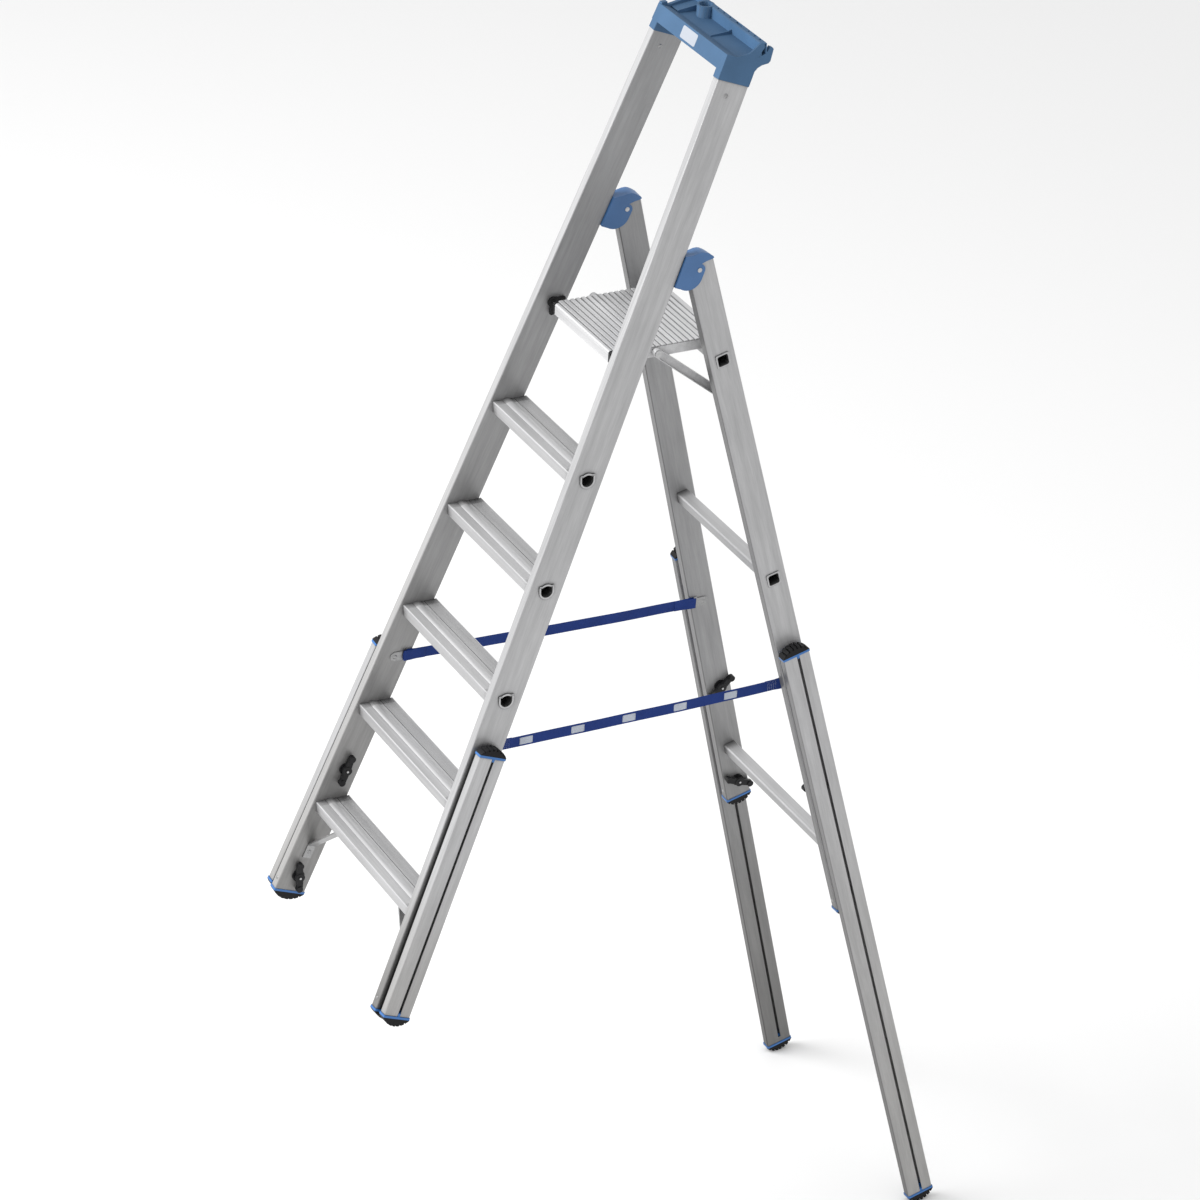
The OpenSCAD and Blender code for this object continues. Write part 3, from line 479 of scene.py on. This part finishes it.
# Width of the rounded edges, in metres, again by the first row that fits
ROUNDING = (
    (("tray",), 0.0009),
    (("hinge_block", "platform_clips"), 0.001),
    (("knob",), 0.0012),
    (SLIDER_RUBBERS + ("front_feet", "rear_feet"), 0.0008),
    (("slider", "front_stile", "rear_stile"), 0.0007),
    (("cross_bar",), 0.0004),
    (("strut_left", "strut_right", "front_foot_rims", "rear_foot_rims"), 0.0005),
)
WELD_REACH = 0.00001
ROUNDING_SEGMENTS = 2
SHARP_EDGE = math.radians(40)


def soften(obj, width):
    """Rounds a mesh's sharp edges and keeps its flat faces flat."""
    weld = obj.modifiers.new("weld", "WELD")
    weld.merge_threshold = WELD_REACH
    bevel = obj.modifiers.new("rounding", "BEVEL")
    bevel.width = width
    bevel.segments = ROUNDING_SEGMENTS
    bevel.limit_method = "ANGLE"
    bevel.angle_limit = SHARP_EDGE
    bevel.use_clamp_overlap = True
    obj.modifiers.new("normals", "WEIGHTED_NORMAL")


for name, obj in nodes.items():
    obj.data.materials.clear()
    obj.data.materials.append(finish_for(name))
    for starts, width in ROUNDING:
        if name.startswith(starts):
            soften(obj, width)
            break

# ---------------------------------------------------------------- mesh tools


def new_piece(name, mesh_maker, materials):
    mesh = bpy.data.meshes.new(name)
    form = bmesh.new()
    mesh_maker(form)
    bmesh.ops.recalc_face_normals(form, faces=form.faces)
    form.to_mesh(mesh)
    form.free()
    for material in materials:
        mesh.materials.append(material)
    obj = bpy.data.objects.new(name, mesh)
    scene.collection.objects.link(obj)
    return obj


def loft(form, rings, slot=0, smooth=True):
    """Closed solid through rings of points, capped at both ends."""
    loops = [[form.verts.new(point) for point in ring] for ring in rings]
    count = len(loops[0])
    for a, b in zip(loops, loops[1:]):
        for i in range(count):
            face = form.faces.new((a[i], a[(i + 1) % count], b[(i + 1) % count], b[i]))
            face.material_index = slot
            face.smooth = smooth
    for loop in (list(reversed(loops[0])), loops[-1]):
        form.faces.new(loop).material_index = slot


# One edge of a woven band's section, in half widths and half thicknesses; it is a little fuller
BAND_EDGE = ((0.75, 1.0), (0.86, 1.12), (0.96, 1.0))
BAND_SECTION = (
    [(-1.0, 0.0)] + [(-u, v) for u, v in reversed(BAND_EDGE)] + list(BAND_EDGE)
    + [(1.0, 0.0)] + [(u, -v) for u, v in reversed(BAND_EDGE)] + [(-u, -v) for u, v in BAND_EDGE])


def band_ring(middle, out, up, half_width, half_thick):
    return [middle + up * (half_width * u) + out * (half_thick * v) for u, v in BAND_SECTION]


# ---------------------------------------------------------------- spreader straps

STRAP_HALF_WIDTH = 0.0127
STRAP_HALF_THICK = 0.0008
STRAP_STEPS = 96
# From the inner side of each bracket's box back to the bar that the strap goes round
BAR_INSET = 0.0075
SAG = 0.003
SLOW_RIPPLE, SLOW_RIPPLE_TURNS = 0.0006, 9.0
FAST_RIPPLE, FAST_RIPPLE_TURNS = 0.0004, 23.0
# Within POCKET of an end the band lies BAR_LIFT further out, over the bar; LIFT_RUN is its slope
POCKET = 0.012
BAR_LIFT = 0.0020
LIFT_RUN = 0.02
# The end that is folded back round a bar and sewn down
TAIL = 0.052
TAIL_STEPS = 14
TAIL_NARROW = 0.985
TAIL_DEPTH = 2.1
# Rows of slanting stitches across the band
STITCH_ROWS = 5
STITCH_COLUMNS = 7
STITCH_FROM = 0.026
STITCH_ROW_PITCH = 0.0048
STITCH_SPREAD = 0.8
STITCH_HALF_LENGTH = 0.0012
STITCH_HALF_RISE = 0.0011
THREAD_RADIUS = 0.0003
THREAD_SIDES = [side * math.tau / 4 for side in range(4)]
# Plain woven patches on the strap nearer the camera
PATCH_COUNT = 5
PATCH_FIRST = 0.086
PATCH_PITCH = 0.1235
PATCH_HALF_LENGTH = 0.0155
PATCH_HALF_WIDTH = 0.0085
PATCH_HALF_THICK = 0.00035
PATCH_PROUD = 0.0001
PATCH_STEPS = 8
PATCH_END = 0.93
# A webbing piece's second material, for stitches and patches
WHITE_SLOT = 1


def strap(side, name, patches):
    """Webbing band with both ends sewn round the brackets' bars; side is the sign of its X."""
    low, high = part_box(name)
    _, front_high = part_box("front_strap_brackets")
    rear_low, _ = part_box("rear_strap_brackets")
    near = max(abs(low.x), abs(high.x)) - STRAP_HALF_THICK
    far = min(abs(low.x), abs(high.x)) + STRAP_HALF_THICK
    drop = 0.0 if side > 0 else (high.z - low.z) - 2 * STRAP_HALF_WIDTH
    start = Vector((side * near, front_high.y - BAR_INSET, high.z - STRAP_HALF_WIDTH))
    end = Vector((side * far, rear_low.y + BAR_INSET, high.z - STRAP_HALF_WIDTH - drop))
    run = end - start
    along = run.normalized()
    out = Vector((side, 0, 0))
    out = (out - along * out.dot(along)).normalized()
    up = out.cross(along)
    if up.z < 0:
        up = -up

    def centre(t):
        ripple = (SLOW_RIPPLE * math.sin(SLOW_RIPPLE_TURNS * t + side)
                  + FAST_RIPPLE * math.sin(FAST_RIPPLE_TURNS * t))
        return start + run * t + out * ripple + up * (-SAG * math.sin(math.pi * t))

    def lift_at(t):
        gap = min(t, 1 - t) * run.length
        ease = max(0.0, min(1.0, 1 - (gap - POCKET) / LIFT_RUN))
        return BAR_LIFT * ease * ease * (3 - 2 * ease)

    def stitch(form, t, across):
        spot = centre(t) + up * STRAP_HALF_WIDTH * across * STITCH_SPREAD
        spot += out * (STRAP_HALF_THICK + lift_at(t))
        loft(form, [[
            spot + along * (THREAD_RADIUS * math.cos(a) + slant * STITCH_HALF_LENGTH)
            + out * THREAD_RADIUS * math.sin(a) + up * slant * STITCH_HALF_RISE
            for a in THREAD_SIDES] for slant in (-1, 0, 1)], WHITE_SLOT)

    def sewn_end(form, first, sign):
        rings = []
        for i in range(TAIL_STEPS + 1):
            t = first + sign * i / TAIL_STEPS * TAIL / run.length
            back = out * (-TAIL_DEPTH * STRAP_HALF_THICK - lift_at(t))
            rings.append(band_ring(centre(t) + back, out, up,
                                   STRAP_HALF_WIDTH * TAIL_NARROW, STRAP_HALF_THICK))
        loft(form, rings)
        for row in range(STITCH_ROWS):
            t = first + sign * (STITCH_FROM + STITCH_ROW_PITCH * row) / run.length
            for column in range(STITCH_COLUMNS):
                stitch(form, t, 2 * column / (STITCH_COLUMNS - 1) - 1)

    def patch(form, place):
        rings = []
        for step in range(PATCH_STEPS + 1):
            t = place + (2 * step / PATCH_STEPS - 1) * PATCH_HALF_LENGTH / run.length
            inset = 1.0 if 0 < step < PATCH_STEPS else PATCH_END
            rings.append(band_ring(centre(t) + out * (STRAP_HALF_THICK + PATCH_PROUD), out, up,
                                   PATCH_HALF_WIDTH * inset, PATCH_HALF_THICK))
        loft(form, rings, WHITE_SLOT)

    def make(form):
        places = [i / STRAP_STEPS for i in range(STRAP_STEPS + 1)]
        loft(form, [band_ring(centre(t) + out * lift_at(t), out, up,
                              STRAP_HALF_WIDTH, STRAP_HALF_THICK) for t in places])
        for first, sign in ((0.0, 1), (1.0, -1)):
            sewn_end(form, first, sign)
        for i in range(patches):
            patch(form, (PATCH_FIRST + PATCH_PITCH * i) / run.length)

    piece = new_piece(name + "_webbing", make, (webbing, patch_white))
    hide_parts(name)
    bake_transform(piece)


strap(1, "strap_right", PATCH_COUNT)
strap(-1, "strap_left", 0)

# ---------------------------------------------------------------- tray label

# The front stiles' front face starts at FOOT_Y and FOOT_Z, and the tray's front stands proud of it
FOOT_Y, FOOT_Z, FASCIA_PROUD = -0.7009, 0.8342, 0.0014
LABEL_X = (-0.033, 0.029)
LABEL_UP = (2.136, 2.1625)
LABEL_CORNER = 0.004
LABEL_CORNER_STEPS = 5
LABEL_THICK = 0.0003
# Height and size of each ring of the sticker, which ends in a slightly smaller top
LABEL_RINGS = ((0.00002, 1.0), (LABEL_THICK * 0.7, 1.0), (LABEL_THICK, 0.988))


def label_outline():
    """Rounded rectangle, as X and distance up the slope, corner by corner."""
    x_low, x_high = LABEL_X[0] + LABEL_CORNER, LABEL_X[1] - LABEL_CORNER
    up_low, up_high = LABEL_UP[0] + LABEL_CORNER, LABEL_UP[1] - LABEL_CORNER
    corners = ((x_high, up_high), (x_low, up_high), (x_low, up_low), (x_high, up_low))
    outline = []
    for turn, (x, s) in enumerate(corners):
        for step in range(LABEL_CORNER_STEPS + 1):
            a = (turn + step / LABEL_CORNER_STEPS) * math.pi / 2
            outline.append((x + LABEL_CORNER * math.cos(a), s + LABEL_CORNER * math.sin(a)))
    return outline


def label(form):
    """Blank sticker on the tray's sloping front."""
    up = Vector((0, math.sin(FRONT_LEAN), math.cos(FRONT_LEAN)))
    out = Vector((0, -math.cos(FRONT_LEAN), math.sin(FRONT_LEAN)))
    foot = Vector((0, FOOT_Y, FOOT_Z)) + out * FASCIA_PROUD
    mid_x, mid_up = sum(LABEL_X) / 2, sum(LABEL_UP) / 2
    outline = label_outline()
    rings = []
    for height, size in LABEL_RINGS:
        rings.append([foot + out * height + Vector((mid_x + (x - mid_x) * size, 0, 0))
                      + up * (mid_up + (s - mid_up) * size) for x, s in outline])
    loft(form, rings, 0, False)


sticker = new_piece("tray_label", label, (label_white,))
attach(sticker, "front")

# ---------------------------------------------------------------- stage

FLOOR_HALF = 30
FLOOR_GAP = 0.0005
FLOOR_GREY = 0.85
SKY_STRENGTH = 0.85

floor_mesh = bpy.data.meshes.new("floor")
floor_mesh.from_pydata(
    [(-FLOOR_HALF, -FLOOR_HALF, 0), (FLOOR_HALF, -FLOOR_HALF, 0),
     (FLOOR_HALF, FLOOR_HALF, 0), (-FLOOR_HALF, FLOOR_HALF, 0)], [], [(0, 1, 2, 3)])
floor = bpy.data.objects.new("floor", floor_mesh)
floor.location.z = cad_low.z - FLOOR_GAP
scene.collection.objects.link(floor)
floor_finish = Mat("floor")
floor_finish.set(Base_Color=(FLOOR_GREY, FLOOR_GREY, FLOOR_GREY, 1), Roughness=0.9)
floor_mesh.materials.append(floor_finish.mat)

world = bpy.data.worlds.new("world")
scene.world = world
world.use_nodes = True
sky = world.node_tree.nodes["Background"]
sky.inputs["Color"].default_value = (1, 1, 1, 1)
sky.inputs["Strength"].default_value = SKY_STRENGTH


def area(name, place, aim, size, power):
    data = bpy.data.lights.new(name, "AREA")
    data.shape = "RECTANGLE"
    data.size, data.size_y = size
    data.energy = power
    light = bpy.data.objects.new(name, data)
    scene.collection.objects.link(light)
    light.location = place
    light.rotation_mode = "QUATERNION"
    light.rotation_quaternion = (Vector(place) - Vector(aim)).to_track_quat("Z", "Y")


area("key", place=(-2.2, -5.5, 6.5), aim=(0, 0, 1.4), size=(5.0, 5.0), power=620)

scene.view_settings.view_transform = "Standard"
